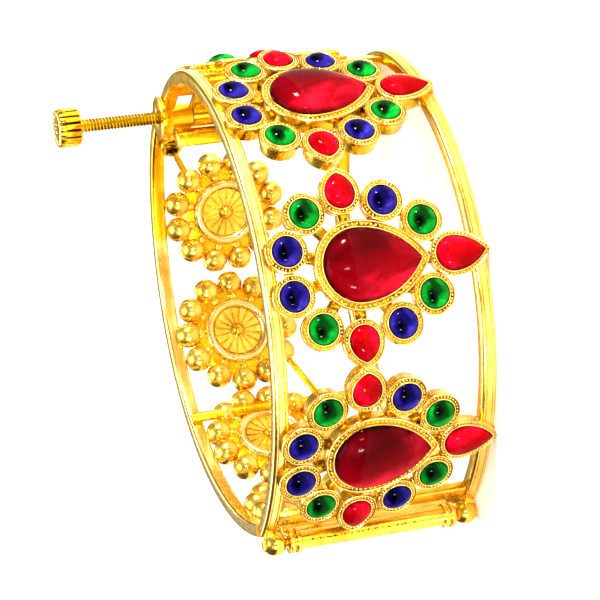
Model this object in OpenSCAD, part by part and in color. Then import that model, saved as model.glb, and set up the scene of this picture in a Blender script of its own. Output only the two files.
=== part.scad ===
/* [Bangle] */
// Width of the bangle, measured along the wrist
bangle_w = 32.5; // [32.5:0.5:34]
// Outer radius of the arc that each half follows
arc_r = 37.5; // [37.4:0.1:37.6]
// How far the centre of each half's arc lies beyond the middle of the bangle
arc_shift = 9.12; // [9.1:0.02:9.14]
// Outer radius of the tighter bend at the closure end
nose_r = 20; // [19.8:0.1:20.2]
// Angle at which the rails turn into the tighter bend, below the long axis
nose_turn = 41; // [40.5:0.5:41.5]

/* [Rails] */
// Width of a rail along the wrist
rail_w = 2.1; // [2:0.1:2.2]
// Thickness of a rail across the wrist
rail_t = 2; // [1.9:0.1:2.1]
// Radius of the rounded rail edges
rail_edge_r = 0.5; // [0.3:0.1:0.6]

/* [Hinge] */
// Distance from the middle of the bangle to the hinge axis
hinge_x = 37.5; // [37.4:0.1:37.6]
// Radius of the ball knuckles
ball_r = 1.7; // [1.6:0.1:1.7]
// Radius of the barrel between the knuckles
barrel_r = 1.4; // [1.3:0.1:1.5]
// Radius of the ring collars at the barrel's ends
collar_r = 1.75; // [1.7:0.05:1.8]
// Radius of the hinge pin
pin_r = 0.6; // [0.5:0.05:0.65]

/* [Closure] */
// Distance from the middle of the bangle to the screw axis
lock_x = 30.2; // [30.1:0.1:30.3]
// Height of the screw axis on the side of the back half
lock_y = 3.2; // [3.1:0.1:3.3]
// Radius of the knuckles and ears round the screw
ear_r = 1.8; // [1.7:0.1:1.9]
// Radius of the disc flange on the upper ear
flange_r = 3.2; // [3.1:0.1:3.3]
// Radius of the screw thread
thread_r = 1; // [0.9:0.05:1]
// Length of the thread
thread_l = 16; // [15.5:0.5:16]
// Length of thread that stands out of the upper ear
thread_out = 12.2; // [12:0.1:12.2]
// Radius of the screw head
head_r = 2.9; // [2.7:0.1:3]
// Height of the screw head
head_h = 3.5; // [3.2:0.1:3.8]

/* [Medallions] */
// Radius to which each medallion is bent
bend_r = 77; // [75:1:80]
// Height of a medallion's girdle above the rails
girdle_rise = 0.7; // [0.7:0.05:0.8]
// Half width of the large pear stone
ruby_r = 5.1; // [5:0.05:5.1]
// Length of the large pear stone from its round centre to its tip
ruby_l = 9.1; // [9:0.1:9.2]
// Half width of the side pear stone
pear_r = 2.35; // [2.3:0.05:2.4]
// Length of the side pear stone from its round centre to its tip
pear_l = 4.75; // [4.7:0.05:4.8]
// Radius of the small stones
gem_r = 2.05; // [1.95:0.05:2.1]
// Length of the small drop stones from the round centre to the tip
drop_l = 2.85; // [2.8:0.05:2.9]
// Radius of the small collets
collet_r = 2.85; // [2.8:0.05:2.85]

/* [Flowers] */
// Radius of the circle on which a flower's balls sit
petal_ring_r = 7.9; // [7.8:0.05:7.9]
// Radius of a flower's balls
petal_r = 2; // [1.95:0.05:2]
// Radius of a flower's middle disc
disc_r = 5.2; // [5:0.1:5.3]

/* [Hidden] */
$fn = 48;
// Gap between pieces that lie face to face
fit_gap = 0.02;
// Gap round a stone in its collet
stone_gap = 0.03;
// Clearance between the halves where they move past each other
move_gap = 0.25;
mid_z = bangle_w / 2;
// Middle of the whole part seen along the wrist, which stands over the origin
box_mid = [-2.33, -1.74];
girdle_r = arc_r + girdle_rise;
front_centre = [0, arc_shift];
nose_pull = arc_r - nose_r;
nose_centre = [nose_pull * cos(nose_turn), arc_shift - nose_pull * sin(nose_turn)];
rail_mid_r = arc_r - rail_t / 2;
// Height of the front rails' ends over the long axis, and of the back rails' ends
front_end_y = 0;
back_end_y = 1.5;
front_end_a = asin((arc_shift + front_end_y) / rail_mid_r);
back_end_a = asin((arc_shift + back_end_y) / rail_mid_r);
// Turn of the nose arc past the long axis at the closure, on the front and back rails
nose_end_a = 12;
back_nose_a = 2;
// Hinge heights
knuckle_z = ball_r + 0.1;
cap_h = 0.3;
cap_r = 0.95;
collar_h = 0.7;
collar_step = 1;
barrel_z = knuckle_z + ball_r + 0.2;
pin_bore_r = pin_r + 0.05;
// Closure heights
flange_face = bangle_w + 0.5;
flange_h = 1.5;
ear_top_z = bangle_w - 4.5;
ear_low_z = 4.5;
ear_bore_r = thread_r + 0.1;
knuckle_bore_r = thread_r + 0.2;
thread_pitch = 0.8;
thread_depth = 0.18;
flute_n = 16;
// Medallion places: degrees from the hinge direction round the front arc's centre
medallion_a = [37.9, 78.4, 120.5];
// Ring of a medallion, one side: place along the arc, place along the wrist from the middle
side_gems = [
    ["green", 5.1, -7.3],
    ["blue", 8.5, -2.2],
    ["green", 7.9, 9.15],
    ["blue", 3.06, 12.5]
];
ruby_z = 2.9;
side_pear_z = -10.8;
drop_s = 10.1;
drop_z = 3.6;
// Collet heights over the girdle
collet_low = -2;
collet_top = 0.4;
seat_n = -0.6;
gem_dome = 1.25;
bezel_top = 0.9;
drop_tip = 0.5;
// Bars under the ring: where they start and end, their width and thickness
link_from = 5.4;
link_to = 2.35;
link_w = 1.2;
link_t = 1.1;
ruby_dome = 2.6;
// Half medallion: distance before the closure end along the nose, place along the wrist
half_drop = [9.7, 3.6];
half_green = [7.7, 9.1];
half_blanks = [[2.95, 12.4], [7.9, -2.2], [4.4, -7.3]];
half_centre_a = 0.5;
half_low_z = 7;
band_t = 0.35;
// Closure plate
plate_t = 1;
plate_r = nose_r - 0.6;
plate_from_a = -36;
plate_end_y = -0.9;
// Back half: degrees from the hinge direction round the back arc's centre, wrist place, twist
flower_d = [31.8, 4.8, 0];
flower_c = [62.9, 4.8, 0];
flower_b = [93.9, 5.2, -12.4];
flower_a = [125, 4.7, 0];
flower_r = arc_r - 2.2;
petal_n = 12;
disc_rim = 1.4;
crossbar_a = 71.2;
crossbar_r = 0.8;
crossbar_in = arc_r - rail_t - crossbar_r - fit_gap;
cup_a = 145.7;
cup_z = mid_z + 13.7;
cup_r = 1.6;
cup_hole = 1.8;
strut_r = 0.5;

// Outlines

// Rail section: outer face on the y axis, wrist direction upward, drawn smaller by an inset
module rail_section(inset) {
    r = rail_edge_r;
    c = r + inset;
    translate([c - rail_t, inset]) square([rail_t - 2 * c, rail_w - 2 * inset]);
    translate([inset - rail_t, c]) square([rail_t - 2 * inset, rail_w - 2 * c]);
    for (x = [c - rail_t, -c], y = [c, rail_w - c])
        translate([x, y]) circle(r = r);
}

// Pear outline: round part about the origin, tip at [0, l]
module pear(r, l) {
    flank = (l * l - r * r) / (2 * r);
    circle(r = r);
    intersection() {
        translate([flank, 0]) circle(r = r + flank);
        translate([-flank, 0]) circle(r = r + flank);
        translate([-r, 0]) square([2 * r, l + 1]);
    }
}

// Part of a ring between two radii and two angles, seen along the wrist
module ring_sector(inner, outer, from, to) {
    far = outer * 1.5;
    intersection() {
        difference() {
            circle(r = outer, $fn = 144);
            circle(r = inner, $fn = 144);
        }
        polygon([
            [0, 0],
            [far * cos(from), far * sin(from)],
            [far * cos((from + to) / 2), far * sin((from + to) / 2)],
            [far * cos(to), far * sin(to)]
        ]);
    }
}

// Places

// A bar of rail section along an arc, from one angle to another
module arc_bar(centre, radius, from, to, inset) {
    translate([centre[0], centre[1], 0])
        rotate([0, 0, from])
            rotate_extrude(angle = to - from, $fn = 144)
                translate([radius, 0]) rail_section(inset);
}

// Both arcs of a front rail; the nose arc is a hair thinner and starts inside the long one
module rail_path(end_a, nose_a) {
    overlap_a = 1.5;
    arc_bar(front_centre, arc_r, 180 + end_a, 360 - nose_turn, 0);
    arc_bar(nose_centre, nose_r, -nose_turn - overlap_a, nose_a, fit_gap);
}

// Room that the rails take, for what is soldered over them
module rail_room(extra) {
    for (z = [-1, bangle_w - rail_w - extra])
        translate([0, 0, z]) {
            linear_extrude(rail_w + 1 + extra)
                translate(front_centre)
                    ring_sector(arc_r - rail_t - extra, arc_r + extra, 190, 360 - nose_turn);
            linear_extrude(rail_w + 1 + extra)
                translate(nose_centre)
                    ring_sector(nose_r - rail_t - extra, nose_r + extra, -nose_turn - 1, 15);
        }
}

// Children stand on a medallion's bent surface: s along the arc, w along the wrist from the middle
module on_medallion(angle, s, w) {
    translate([front_centre[0], front_centre[1], mid_z])
        rotate([0, 0, 180 + angle])
            translate([girdle_r - bend_r, 0, 0])
                rotate([0, 0, s / bend_r * 180 / PI])
                    translate([bend_r, 0, w])
                        rotate([90, 0, 90]) children();
}

// Children stand on the bend at the closure end, s before its end
module on_nose(s, w) {
    translate([nose_centre[0], nose_centre[1], mid_z])
        rotate([0, 0, half_centre_a - s / nose_r * 180 / PI])
            translate([nose_r + 0.4, 0, w])
                rotate([90, 0, 90]) children();
}

// Children stand on the back half: x outward, y along the arc toward the hinge, z along the wrist
module on_back(angle, w) {
    translate([0, -arc_shift, mid_z + w])
        rotate([0, 0, 180 - angle]) children();
}

// The same place as a point
function back_point(angle, radius, s, w) = [
    radius * cos(180 - angle) - s * sin(180 - angle),
    radius * sin(180 - angle) + s * cos(180 - angle) - arc_shift,
    mid_z + w
];

// Straight round rod between two points
module rod(from, to, r) {
    d = to - from;
    translate(from)
        rotate([0, acos(d[2] / norm(d)), atan2(d[1], d[0])])
            cylinder(h = norm(d), r = r);
}

// Collets and stones

module gem_collet() {
    inner = gem_r + stone_gap;
    rotate_extrude()
        polygon([
            [0, collet_low], [2.4, collet_low], [collet_r, -0.6], [collet_r, 0.15],
            [2.6, collet_top], [inner, collet_top], [inner, seat_n], [0, seat_n]
        ]);
}

module pear_collet(r, l, wall, tip_wall, top) {
    difference() {
        union() {
            translate([0, 0, collet_low])
                linear_extrude(top - 0.25 - collet_low) pear(r + wall, l + tip_wall);
            translate([0, 0, seat_n])
                linear_extrude(top - seat_n) pear(r + wall - 0.25, l + tip_wall - 0.3);
        }
        translate([0, 0, seat_n])
            linear_extrude(top + 1) pear(r + stone_gap, l + 2 * stone_gap);
    }
}

module round_gem() {
    ball = (gem_r * gem_r + gem_dome * gem_dome) / (2 * gem_dome);
    edge = 0.1;
    foot = seat_n + stone_gap;
    intersection() {
        translate([0, 0, foot]) cylinder(h = gem_dome + edge - foot + 1, r = gem_r);
        translate([0, 0, edge + gem_dome - ball]) sphere(r = ball);
    }
}

// Domed pear stone: slices that shrink toward the top
module pear_gem(r, l, edge, dome) {
    slices = 4;
    hull() {
        translate([0, 0, seat_n + stone_gap]) linear_extrude(0.01) pear(r, l, $fn = 24);
        for (i = [0:slices]) {
            a = i * 80 / slices;
            translate([0, 0, edge + dome * sin(a)])
                linear_extrude(0.01) scale(cos(a)) pear(r, l, $fn = 24);
        }
    }
}

// Front half

module setting(angle) {
    difference() {
        union() {
            on_medallion(angle, 0, ruby_z)
                rotate([0, 0, 180]) pear_collet(ruby_r, ruby_l, 0.9, 1.3, bezel_top);
            on_medallion(angle, 0, side_pear_z)
                rotate([0, 0, 180]) pear_collet(pear_r, pear_l, 0.7, 0.6, collet_top);
            setting_link(angle, 0, side_pear_z);
            for (side = [-1, 1]) {
                on_medallion(angle, side * drop_s, drop_z)
                    rotate([0, 0, -90 * side])
                        pear_collet(gem_r, drop_l, collet_r - gem_r, drop_tip, collet_top);
                for (gem = side_gems)
                    on_medallion(angle, side * gem[1], gem[2]) gem_collet();
                for (gem = side_gems)
                    setting_link(angle, side * gem[1], gem[2]);
                setting_link(angle, side * drop_s, drop_z);
            }
        }
        rail_room(fit_gap);
        hinge_plate_room();
    }
}

// Small bar from the large bezel to a collet of the ring
module setting_link(angle, s, w) {
    reach = norm([s, w - ruby_z]);
    on_medallion(angle, 0, ruby_z)
        rotate([0, 0, atan2(w - ruby_z, s)])
            translate([link_from, -link_w / 2, collet_low + 0.1])
                cube([reach - link_from - link_to, link_w, link_t]);
}

module hinge_plate_outline(extra) {
    translate(front_centre)
        ring_sector(arc_r - 1.5 - extra, arc_r - 0.3 + extra, 197.1 - extra, 200.6 + extra);
}

module hinge_plate_room() {
    translate([0, 0, rail_w]) linear_extrude(bangle_w - 2 * rail_w) hinge_plate_outline(fit_gap);
}

// Ball with a flat under the pin's cap, and the neck that joins it to the rail
module ball_knuckle() {
    translate([-hinge_x, 0, 0])
        rotate_extrude()
            intersection() {
                translate([0, knuckle_z]) circle(r = ball_r);
                translate([0, cap_h]) square([ball_r + 1, 2 * ball_r + 1]);
            }
    translate([0.9 - hinge_x, -1.25, 0.35])
        cube([1.7, 1.1, rail_w - 0.75]);
}

module front_rail() {
    difference() {
        union() {
            rail_path(front_end_a, nose_end_a);
            ball_knuckle();
        }
        translate([lock_x, lock_y, -1]) cylinder(h = 6, r = flange_r + move_gap);
        translate([-hinge_x, 0, -1]) cylinder(h = 8, r = pin_bore_r);
        translate([-hinge_x, 0, -1]) cylinder(h = cap_h + 1, r = cap_r + fit_gap);
    }
}

module front_lower_rail() {
    color("gold") front_rail();
}

module front_upper_rail() {
    color("gold") translate([0, 0, bangle_w]) mirror([0, 0, 1]) front_rail();
}

module front_hinge_plate() {
    color("gold")
        translate([0, 0, rail_w + fit_gap])
            linear_extrude(bangle_w - 2 * rail_w - 2 * fit_gap) hinge_plate_outline(0);
}

// Curved plate between the rails round the nose, and the knuckle that the screw enters
module front_closure_plate() {
    color("gold")
        difference() {
            union() {
                translate([0, 0, rail_w + fit_gap])
                    linear_extrude(bangle_w - 2 * rail_w - 2 * fit_gap)
                        intersection() {
                            translate(nose_centre)
                                ring_sector(plate_r - plate_t, plate_r, plate_from_a, 15);
                            translate([0, plate_end_y - 40]) square([60, 40]);
                        }
                translate([0, 0, ear_low_z + move_gap])
                    linear_extrude(ear_top_z - ear_low_z - 2 * move_gap) {
                        translate([lock_x, lock_y]) circle(r = ear_r);
                        polygon([
                            [lock_x + 1.5, plate_end_y - 0.4], [lock_x + 2.2, plate_end_y - 0.4],
                            [lock_x + 1.75, lock_y], [lock_x + 0.4, lock_y - 1.5]
                        ]);
                    }
            }
            translate([lock_x, lock_y, -1]) cylinder(h = bangle_w, r = knuckle_bore_r);
        }
}

module medallion_one() {
    color("gold") setting(medallion_a[2]);
}

module medallion_two() {
    color("gold") setting(medallion_a[1]);
}

module medallion_three() {
    color("gold") setting(medallion_a[0]);
}

// Lower half of a medallion, cut off at the closure: collets, blank cups and the bezel's arc
module half_medallion() {
    half_out = nose_r + 1.3;
    color("gold")
        difference() {
            union() {
                on_nose(half_drop[0], half_drop[1])
                    rotate([0, 0, 90])
                        pear_collet(gem_r, drop_l, collet_r - gem_r, drop_tip, collet_top);
                on_nose(half_green[0], half_green[1]) gem_collet();
                for (blank = half_blanks)
                    on_nose(blank[0], blank[1]) gem_collet();
                translate([0, 0, half_low_z])
                    linear_extrude(bangle_w - rail_w - fit_gap - half_low_z)
                        translate(nose_centre)
                            ring_sector(plate_r + fit_gap, plate_r + band_t, -30, half_centre_a);
                intersection() {
                    translate([nose_centre[0], nose_centre[1], mid_z + ruby_z])
                        rotate([0, 90, half_centre_a])
                            difference() {
                                cylinder(h = half_out + 1, r = ruby_r + 1.1);
                                cylinder(h = half_out + 2, r = ruby_r);
                            }
                    translate([0, 0, rail_w])
                        linear_extrude(bangle_w - 2 * rail_w)
                            translate(nose_centre)
                                ring_sector(plate_r + fit_gap, half_out, -30, half_centre_a + 3);
                }
            }
            rail_room(fit_gap);
            linear_extrude(bangle_w) translate(nose_centre) circle(r = plate_r + fit_gap, $fn = 144);
            translate([lock_x, lock_y, -1]) cylinder(h = bangle_w + 4, r = flange_r + move_gap);
        }
}

module large_ruby(angle) {
    color("crimson")
        on_medallion(angle, 0, ruby_z)
            rotate([0, 0, 180]) pear_gem(ruby_r, ruby_l, bezel_top - 0.3, ruby_dome);
}

module side_ruby(angle) {
    color("red")
        on_medallion(angle, 0, side_pear_z)
            rotate([0, 0, 180]) pear_gem(pear_r, pear_l, 0.1, 1.4);
}

module red_drop(angle, side) {
    color("red")
        on_medallion(angle, side * drop_s, drop_z)
            rotate([0, 0, -90 * side]) pear_gem(gem_r, drop_l, 0.1, gem_dome);
}

module gem_field(angle, kind) {
    for (side = [-1, 1], gem = side_gems)
        if (gem[0] == kind) on_medallion(angle, side * gem[1], gem[2]) round_gem();
}

module red_drop_half() {
    color("red")
        on_nose(half_drop[0], half_drop[1])
            rotate([0, 0, 90]) pear_gem(gem_r, drop_l, 0.1, gem_dome);
}

module green_half() {
    color("green") on_nose(half_green[0], half_green[1]) round_gem();
}

// Back half

module back_rail() {
    difference() {
        mirror([0, 1, 0]) rail_path(back_end_a, back_nose_a);
        translate([lock_x, lock_y, -1]) cylinder(h = 6, r = ear_r + fit_gap);
    }
}

module back_lower_rail() {
    color("gold") back_rail();
}

module back_upper_rail() {
    color("gold")
        difference() {
            translate([0, 0, bangle_w]) mirror([0, 0, 1]) back_rail();
            translate([lock_x, lock_y, flange_face - flange_h - fit_gap])
                cylinder(h = flange_h + 1, r = flange_r + fit_gap);
        }
}

// Leaf between the barrel and its bar, and the bar itself, seen along the wrist
module hinge_leaf(extra) {
    translate([-hinge_x, 0])
        rotate(45) translate([0.8, -0.8 - extra]) square([2.6 + extra, 1.6 + 2 * extra]);
}

module hinge_bar_outline(extra) {
    translate([0, -arc_shift])
        ring_sector(arc_r - 1.8 - extra, arc_r - 0.2 + extra, 159.4 - extra, 180 - back_end_a);
}

// Long barrel with double ring collars, carried by a bar between the back rails
module back_hinge_bar() {
    color("gold")
        difference() {
            union() {
                translate([-hinge_x, 0, barrel_z])
                    cylinder(h = bangle_w - 2 * barrel_z, r = barrel_r);
                for (i = [0, 1], top = [0, 1])
                    translate([-hinge_x, 0, top * (bangle_w - 2 * barrel_z - collar_h - 2 * i * collar_step)])
                        translate([0, 0, barrel_z + i * collar_step])
                            cylinder(h = collar_h, r = collar_r);
                translate([0, 0, barrel_z])
                    linear_extrude(bangle_w - 2 * barrel_z) hinge_leaf(0);
                translate([0, 0, rail_w + fit_gap])
                    linear_extrude(bangle_w - 2 * rail_w - 2 * fit_gap) hinge_bar_outline(0);
            }
            translate([-hinge_x, 0, -1]) cylinder(h = bangle_w + 2, r = pin_bore_r);
        }
}

module hinge_pin() {
    shaft_z = cap_h + fit_gap;
    color("gold") {
        translate([-hinge_x, 0, shaft_z - 0.1]) cylinder(h = bangle_w - 2 * shaft_z + 0.2, r = pin_r);
        for (top = [0, 1])
            translate([-hinge_x, 0, top * bangle_w])
                mirror([0, 0, top])
                    rotate_extrude()
                        polygon([[0, 0.05], [0.6, 0.05], [cap_r, 0.2], [cap_r, cap_h - fit_gap], [0, cap_h]]);
    }
}

module back_crossbar() {
    color("gold")
        on_back(crossbar_a, 0)
            translate([crossbar_in, 0, 0.3 - mid_z]) cylinder(h = bangle_w - 0.6, r = crossbar_r);
}

// Bar between the back rails, with an ear at each end of the knuckle
module back_closure_bar() {
    color("gold")
        difference() {
            union() {
                translate([0, 0, rail_w + fit_gap])
                    linear_extrude(bangle_w - 2 * rail_w - 2 * fit_gap)
                        difference() {
                            polygon([
                                [lock_x - 4.6, lock_y + 0.8], [lock_x - 3, lock_y - 0.2],
                                [lock_x - 0.8, lock_y + 2], [lock_x - 0.4, lock_y + 3.4],
                                [lock_x - 3.8, lock_y + 3.4]
                            ]);
                            translate([lock_x, lock_y]) circle(r = ear_r + move_gap);
                        }
                translate([lock_x, lock_y, ear_top_z])
                    cylinder(h = flange_face - ear_top_z, r = ear_r);
                translate([lock_x, lock_y, flange_face - flange_h])
                    cylinder(h = flange_h, r = flange_r);
                translate([lock_x, lock_y, 0.05]) cylinder(h = ear_low_z - 0.05, r = ear_r);
                for (z = [rail_w + fit_gap, ear_top_z])
                    translate([0, 0, z])
                        linear_extrude(ear_low_z - rail_w - fit_gap)
                            ear_web();
            }
            translate([lock_x, lock_y, ear_top_z - 1])
                cylinder(h = bangle_w, r = ear_bore_r);
        }
}

module ear_web() {
    polygon([
        [lock_x - 1.9, lock_y + 0.6], [lock_x + 1.2, lock_y + 0.6],
        [lock_x + 1.2, lock_y + 2.6], [lock_x - 1.9, lock_y + 2.6]
    ]);
}

// Cup with a square hole on the upper rail, and its strut to the nearest flower
module latch_cup() {
    cup_at = back_point(cup_a, arc_r - rail_t - 1, 0, cup_z - mid_z);
    petal_at = petal_point(flower_a, 1);
    color("gold")
        difference() {
            union() {
                on_back(cup_a, cup_z - mid_z)
                    translate([arc_r - rail_t - fit_gap - 1.8, 0, 0])
                        rotate([0, 90, 0]) cylinder(h = 1.8, r = cup_r);
                rod(petal_at, cup_at, strut_r);
            }
            translate(petal_at) sphere(r = petal_r + fit_gap);
            on_back(cup_a, cup_z - mid_z)
                translate([arc_r - rail_t - 2.4, -cup_hole / 2, -cup_hole / 2])
                    cube([1.7, cup_hole, cup_hole]);
            mirror([0, 1, 0]) rail_room(fit_gap);
        }
}

// Centre of one ball of a flower
function petal_point(flower, i) =
    let (a = 15 + i * 360 / petal_n + flower[2])
    back_point(flower[0], flower_r, -petal_ring_r * sin(a), flower[1] + petal_ring_r * cos(a));

module back_side_strut() {
    petal_at = petal_point(flower_b, 7);
    bar_at = back_point(crossbar_a, crossbar_in, 0, -5.1);
    color("gold")
        difference() {
            rod(petal_at, bar_at, strut_r);
            translate(petal_at) sphere(r = petal_r + fit_gap);
            on_back(crossbar_a, 0)
                translate([crossbar_in, 0, -mid_z]) cylinder(h = bangle_w, r = crossbar_r + fit_gap);
        }
}

// Twelve balls round a rimmed disc, the same from both sides
module flower(place) {
    web_r = 7.3;
    difference() {
        union() {
            for (i = [0:petal_n - 1])
                translate(petal_point(place, i)) sphere(r = petal_r);
            on_back(place[0], place[1])
                translate([flower_r, 0, 0])
                    rotate([0, 90, 0]) {
                        translate([0, 0, -0.4]) cylinder(h = 0.8, r = web_r);
                        difference() {
                            translate([0, 0, -1]) cylinder(h = 2, r = disc_r);
                            for (n = [-1.5, 0.65])
                                translate([0, 0, n]) cylinder(h = 0.85, r = disc_r - disc_rim);
                        }
                        for (n = [-0.7, 0.7])
                            translate([0, 0, n]) sphere(r = 0.8);
                    }
        }
        mirror([0, 1, 0]) rail_room(fit_gap);
        on_back(crossbar_a, 0)
            translate([crossbar_in, 0, -mid_z]) cylinder(h = bangle_w, r = crossbar_r + fit_gap);
        linear_extrude(bangle_w) {
            hinge_leaf(fit_gap);
            hinge_bar_outline(fit_gap);
        }
    }
}

module closure_screw() {
    rows = floor(thread_l / thread_pitch);
    tip_z = flange_face + thread_out - thread_l;
    color("gold")
        translate([lock_x, lock_y, tip_z]) {
            difference() {
                cylinder(h = thread_l + 0.5, r = thread_r);
                for (i = [0:rows - 1])
                    translate([0, 0, (i + 0.5) * thread_pitch])
                        rotate_extrude()
                            polygon([
                                [thread_r + 0.1, -0.3], [thread_r + 0.1, 0.3], [thread_r - thread_depth, 0]
                            ]);
            }
            translate([0, 0, thread_l]) screw_head();
        }
}

module screw_head() {
    flute_r = 0.32;
    difference() {
        rotate_extrude()
            polygon([
                [0, 0], [head_r - 0.5, 0], [head_r, 0.4], [head_r, head_h - 0.4],
                [head_r - 0.4, head_h], [1, head_h], [0.6, head_h - 0.4], [0, head_h - 0.4]
            ]);
        for (i = [0:flute_n - 1])
            rotate([0, 0, i * 360 / flute_n])
                translate([head_r + 0.05, 0, -1]) cylinder(h = head_h + 2, r = flute_r);
    }
}

// The whole part moved so that its middle stands over the origin
module seated() {
    translate([-box_mid[0], -box_mid[1], 0]) children();
}

seated() back_upper_rail();
seated() back_lower_rail();
seated() back_hinge_bar();
seated() back_crossbar();
seated() back_closure_bar();
seated() latch_cup();
seated() back_side_strut();
seated() color("gold") flower(flower_a);  // flower_one
seated() color("gold") flower(flower_b);  // flower_two
seated() color("gold") flower(flower_c);  // flower_three
seated() color("gold") flower(flower_d);  // flower_four
seated() hinge_pin();
seated() front_upper_rail();
seated() front_lower_rail();
seated() front_hinge_plate();
seated() front_closure_plate();
seated() medallion_one();
seated() medallion_two();
seated() medallion_three();
seated() half_medallion();
seated() large_ruby(medallion_a[2]);  // large_ruby_one
seated() large_ruby(medallion_a[1]);  // large_ruby_two
seated() large_ruby(medallion_a[0]);  // large_ruby_three
seated() side_ruby(medallion_a[2]);  // side_ruby_one
seated() side_ruby(medallion_a[1]);  // side_ruby_two
seated() side_ruby(medallion_a[0]);  // side_ruby_three
seated() red_drop(medallion_a[2], -1);  // red_drop_one_low
seated() red_drop(medallion_a[2], 1);  // red_drop_one_high
seated() red_drop(medallion_a[1], -1);  // red_drop_two_low
seated() red_drop(medallion_a[1], 1);  // red_drop_two_high
seated() red_drop(medallion_a[0], -1);  // red_drop_three_low
seated() red_drop(medallion_a[0], 1);  // red_drop_three_high
seated() red_drop_half();
seated() color("green") gem_field(medallion_a[2], "green");  // greens_one
seated() color("green") gem_field(medallion_a[1], "green");  // greens_two
seated() color("green") gem_field(medallion_a[0], "green");  // greens_three
seated() green_half();
seated() color("navy") gem_field(medallion_a[2], "blue");  // blues_one
seated() color("navy") gem_field(medallion_a[1], "blue");  // blues_two
seated() color("navy") gem_field(medallion_a[0], "blue");  // blues_three
seated() closure_screw();
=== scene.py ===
import math

import bmesh
import bpy
from bpy.props import FloatProperty, FloatVectorProperty, IntProperty, PointerProperty
from mathutils import Euler, Matrix, Vector


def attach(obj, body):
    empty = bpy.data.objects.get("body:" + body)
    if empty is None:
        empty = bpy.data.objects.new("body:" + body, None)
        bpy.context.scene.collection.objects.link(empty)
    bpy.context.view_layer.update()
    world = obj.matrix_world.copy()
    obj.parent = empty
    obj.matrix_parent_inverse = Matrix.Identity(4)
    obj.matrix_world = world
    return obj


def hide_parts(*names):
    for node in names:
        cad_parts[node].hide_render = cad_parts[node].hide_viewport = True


bl_info = {
    "name": "Meenakari bangle",
    "version": (1, 0, 0),
    "blender": (4, 5, 0),
    "location": "View3D > Sidebar > Bangle",
    "description": "Dresses the packed bangle with cast gold, milgrain collets and cabochons",
    "category": "Object",
}

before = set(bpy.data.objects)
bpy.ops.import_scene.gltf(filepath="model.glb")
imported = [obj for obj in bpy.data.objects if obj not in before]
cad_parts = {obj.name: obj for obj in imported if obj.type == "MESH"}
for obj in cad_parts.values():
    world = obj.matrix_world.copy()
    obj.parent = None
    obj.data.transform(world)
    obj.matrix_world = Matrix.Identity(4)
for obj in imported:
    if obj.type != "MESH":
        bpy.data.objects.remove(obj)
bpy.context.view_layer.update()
MM = 0.001
TURN = 2 * math.pi

# Places of the bangle, in millimetres and degrees, the same as the solids'.
# s runs along an arc, and w along the wrist from the band's middle.
SEAT = (2.33, 1.74, 0.0)
MID_Z = 16.25
WIDE = 32.5
ARC_R = 37.5
FRONT = (0.0, 9.12)
BACK = (0.0, -9.12)
NOSE = (13.207, -2.361)
NOSE_R = 20.0
NOSE_TURN = 41.0
NOSE_START = 0.5
NOSE_PROUD = 0.4

RAIL_W = 2.1
RAIL_T = 2.0
RAIL_CORNER = 0.42
RAIL_LINES = ((0.62, 0.04), (1.5, 0.08))  # height and flank of each fine groove
LINE_DEPTH = 0.03
FRONT_REACH, BACK_REACH = 12.0, 2.0  # degrees past the nose's own turn

GIRDLE_R = 38.2
BEND_R = 77.0
MEDALLION_ANGLE = {"one": 120.5, "two": 78.4, "three": 37.9}
SIDE_GEMS = (
    ("green", 5.1, -7.3),
    ("blue", 8.5, -2.2),
    ("green", 7.9, 9.15),
    ("blue", 3.06, 12.5),
)
RUBY_R, RUBY_L = 5.1, 9.1
RUBY_W = 2.9
SIDE_PEAR_W = -10.8
DROP_S, DROP_W = 10.1, 3.6
END_DROP = (9.7, 3.6)
END_GREEN = (7.7, 9.1)
END_BLANKS = ((2.95, 12.4), (7.9, -2.2), (4.4, -7.3))
COLLET_R = 2.07
ROW_POINTS = 240
CUP_FOOT, SHORT_FOOT = -2.0, -0.95
GEM_LOW, GEM_EDGE = -0.57, 0.14

FLOWERS = {
    "one": (125.0, 4.7, 0.0),
    "two": (93.9, 5.2, -12.4),
    "three": (62.9, 4.8, 0.0),
    "four": (31.8, 4.8, 0.0),
}
FLOWER_R = 35.3
BALLS = 12
BALL_RING, BEAD_RING = 7.9, 5.85

HINGE_X = -37.5
WORN_ANGLE = -109
LATCH = (145.7, 13.7)
LOCK = (30.2, 3.2)
SCREW_TIP = 29.2
THREAD_LENGTH = 16.0
THREAD_PITCH, THREAD_CORE = 0.5, 0.84

CREASE = math.radians(38)
RAY_OUT = 0.16
FLOOR_GAP = 0.03


def size_of(name, description, default):
    """A size that the user may change, its default in mm."""
    return FloatProperty(
        name=name, description=description, default=default * MM, unit="LENGTH", precision=5
    )


def colour_of(name, description, default):
    """A colour that the user may change."""
    return FloatVectorProperty(
        name=name, description=description, default=default, subtype="COLOR", min=0, max=1
    )


class BangleSizes(bpy.types.PropertyGroup):
    """Sizes of the fine work that the solids leave out."""

    bead_radius: size_of("Milgrain bead", "Radius of one bead of the milgrain rows", 0.2)
    bead_pitch: size_of("Milgrain pitch", "Distance from one bead of a row to the next", 0.5)
    gem_radius: size_of("Small stone", "Radius of the small round stones", 2.1)
    gem_dome: size_of("Small stone dome", "Rise of a small stone over its collet", 1.3)
    ruby_dome: size_of("Large stone dome", "Rise of the large pear stone over its bezel", 2.6)
    edge_round: size_of("Polished edge", "Rounding of the edges of bars and plates", 0.14)
    rays: IntProperty(
        name="Flower rays",
        description="Number of raised rays on a flower's middle disc",
        default=16,
        min=8,
        max=32,
    )


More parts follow.
